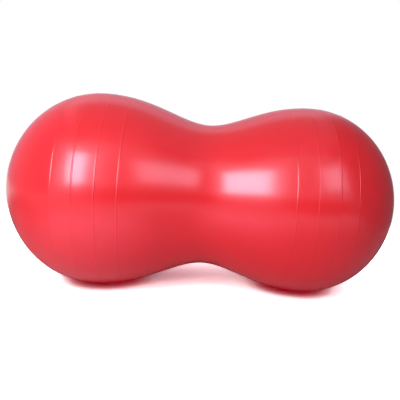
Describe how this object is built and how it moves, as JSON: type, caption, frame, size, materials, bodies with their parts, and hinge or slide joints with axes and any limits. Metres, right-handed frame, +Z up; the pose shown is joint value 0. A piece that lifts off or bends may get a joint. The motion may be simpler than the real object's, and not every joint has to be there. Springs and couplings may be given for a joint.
{
  "type": "peanut ball",
  "caption": "Air-filled vinyl exercise roll with two round lobes, a narrower waist, moulded anti-slip ribs and an air valve closed by a push-in plug.",
  "frame": {"origin": "middle of the ball's footprint, on the floor it rests on", "axes": "+X along the ball's long axis towards the end with the valve, +Z up"},
  "size_m": [0.913, 0.4502, 0.4481],
  "materials": {
    "skin_vinyl": "satin",
    "seat_vinyl": "satin",
    "plug_plastic": "satin"
  },
  "bodies": {
    "ball": {"ball_skin": "skin_vinyl", "valve_seat": "seat_vinyl"},
    "plug": {"air_plug": "plug_plastic"}
  },
  "joints": [
    {"name": "plug_pull", "type": "slide", "parent": "ball", "child": "plug", "axis": [1, 0, 0], "range_m": [0, 0.04]}
  ]
}
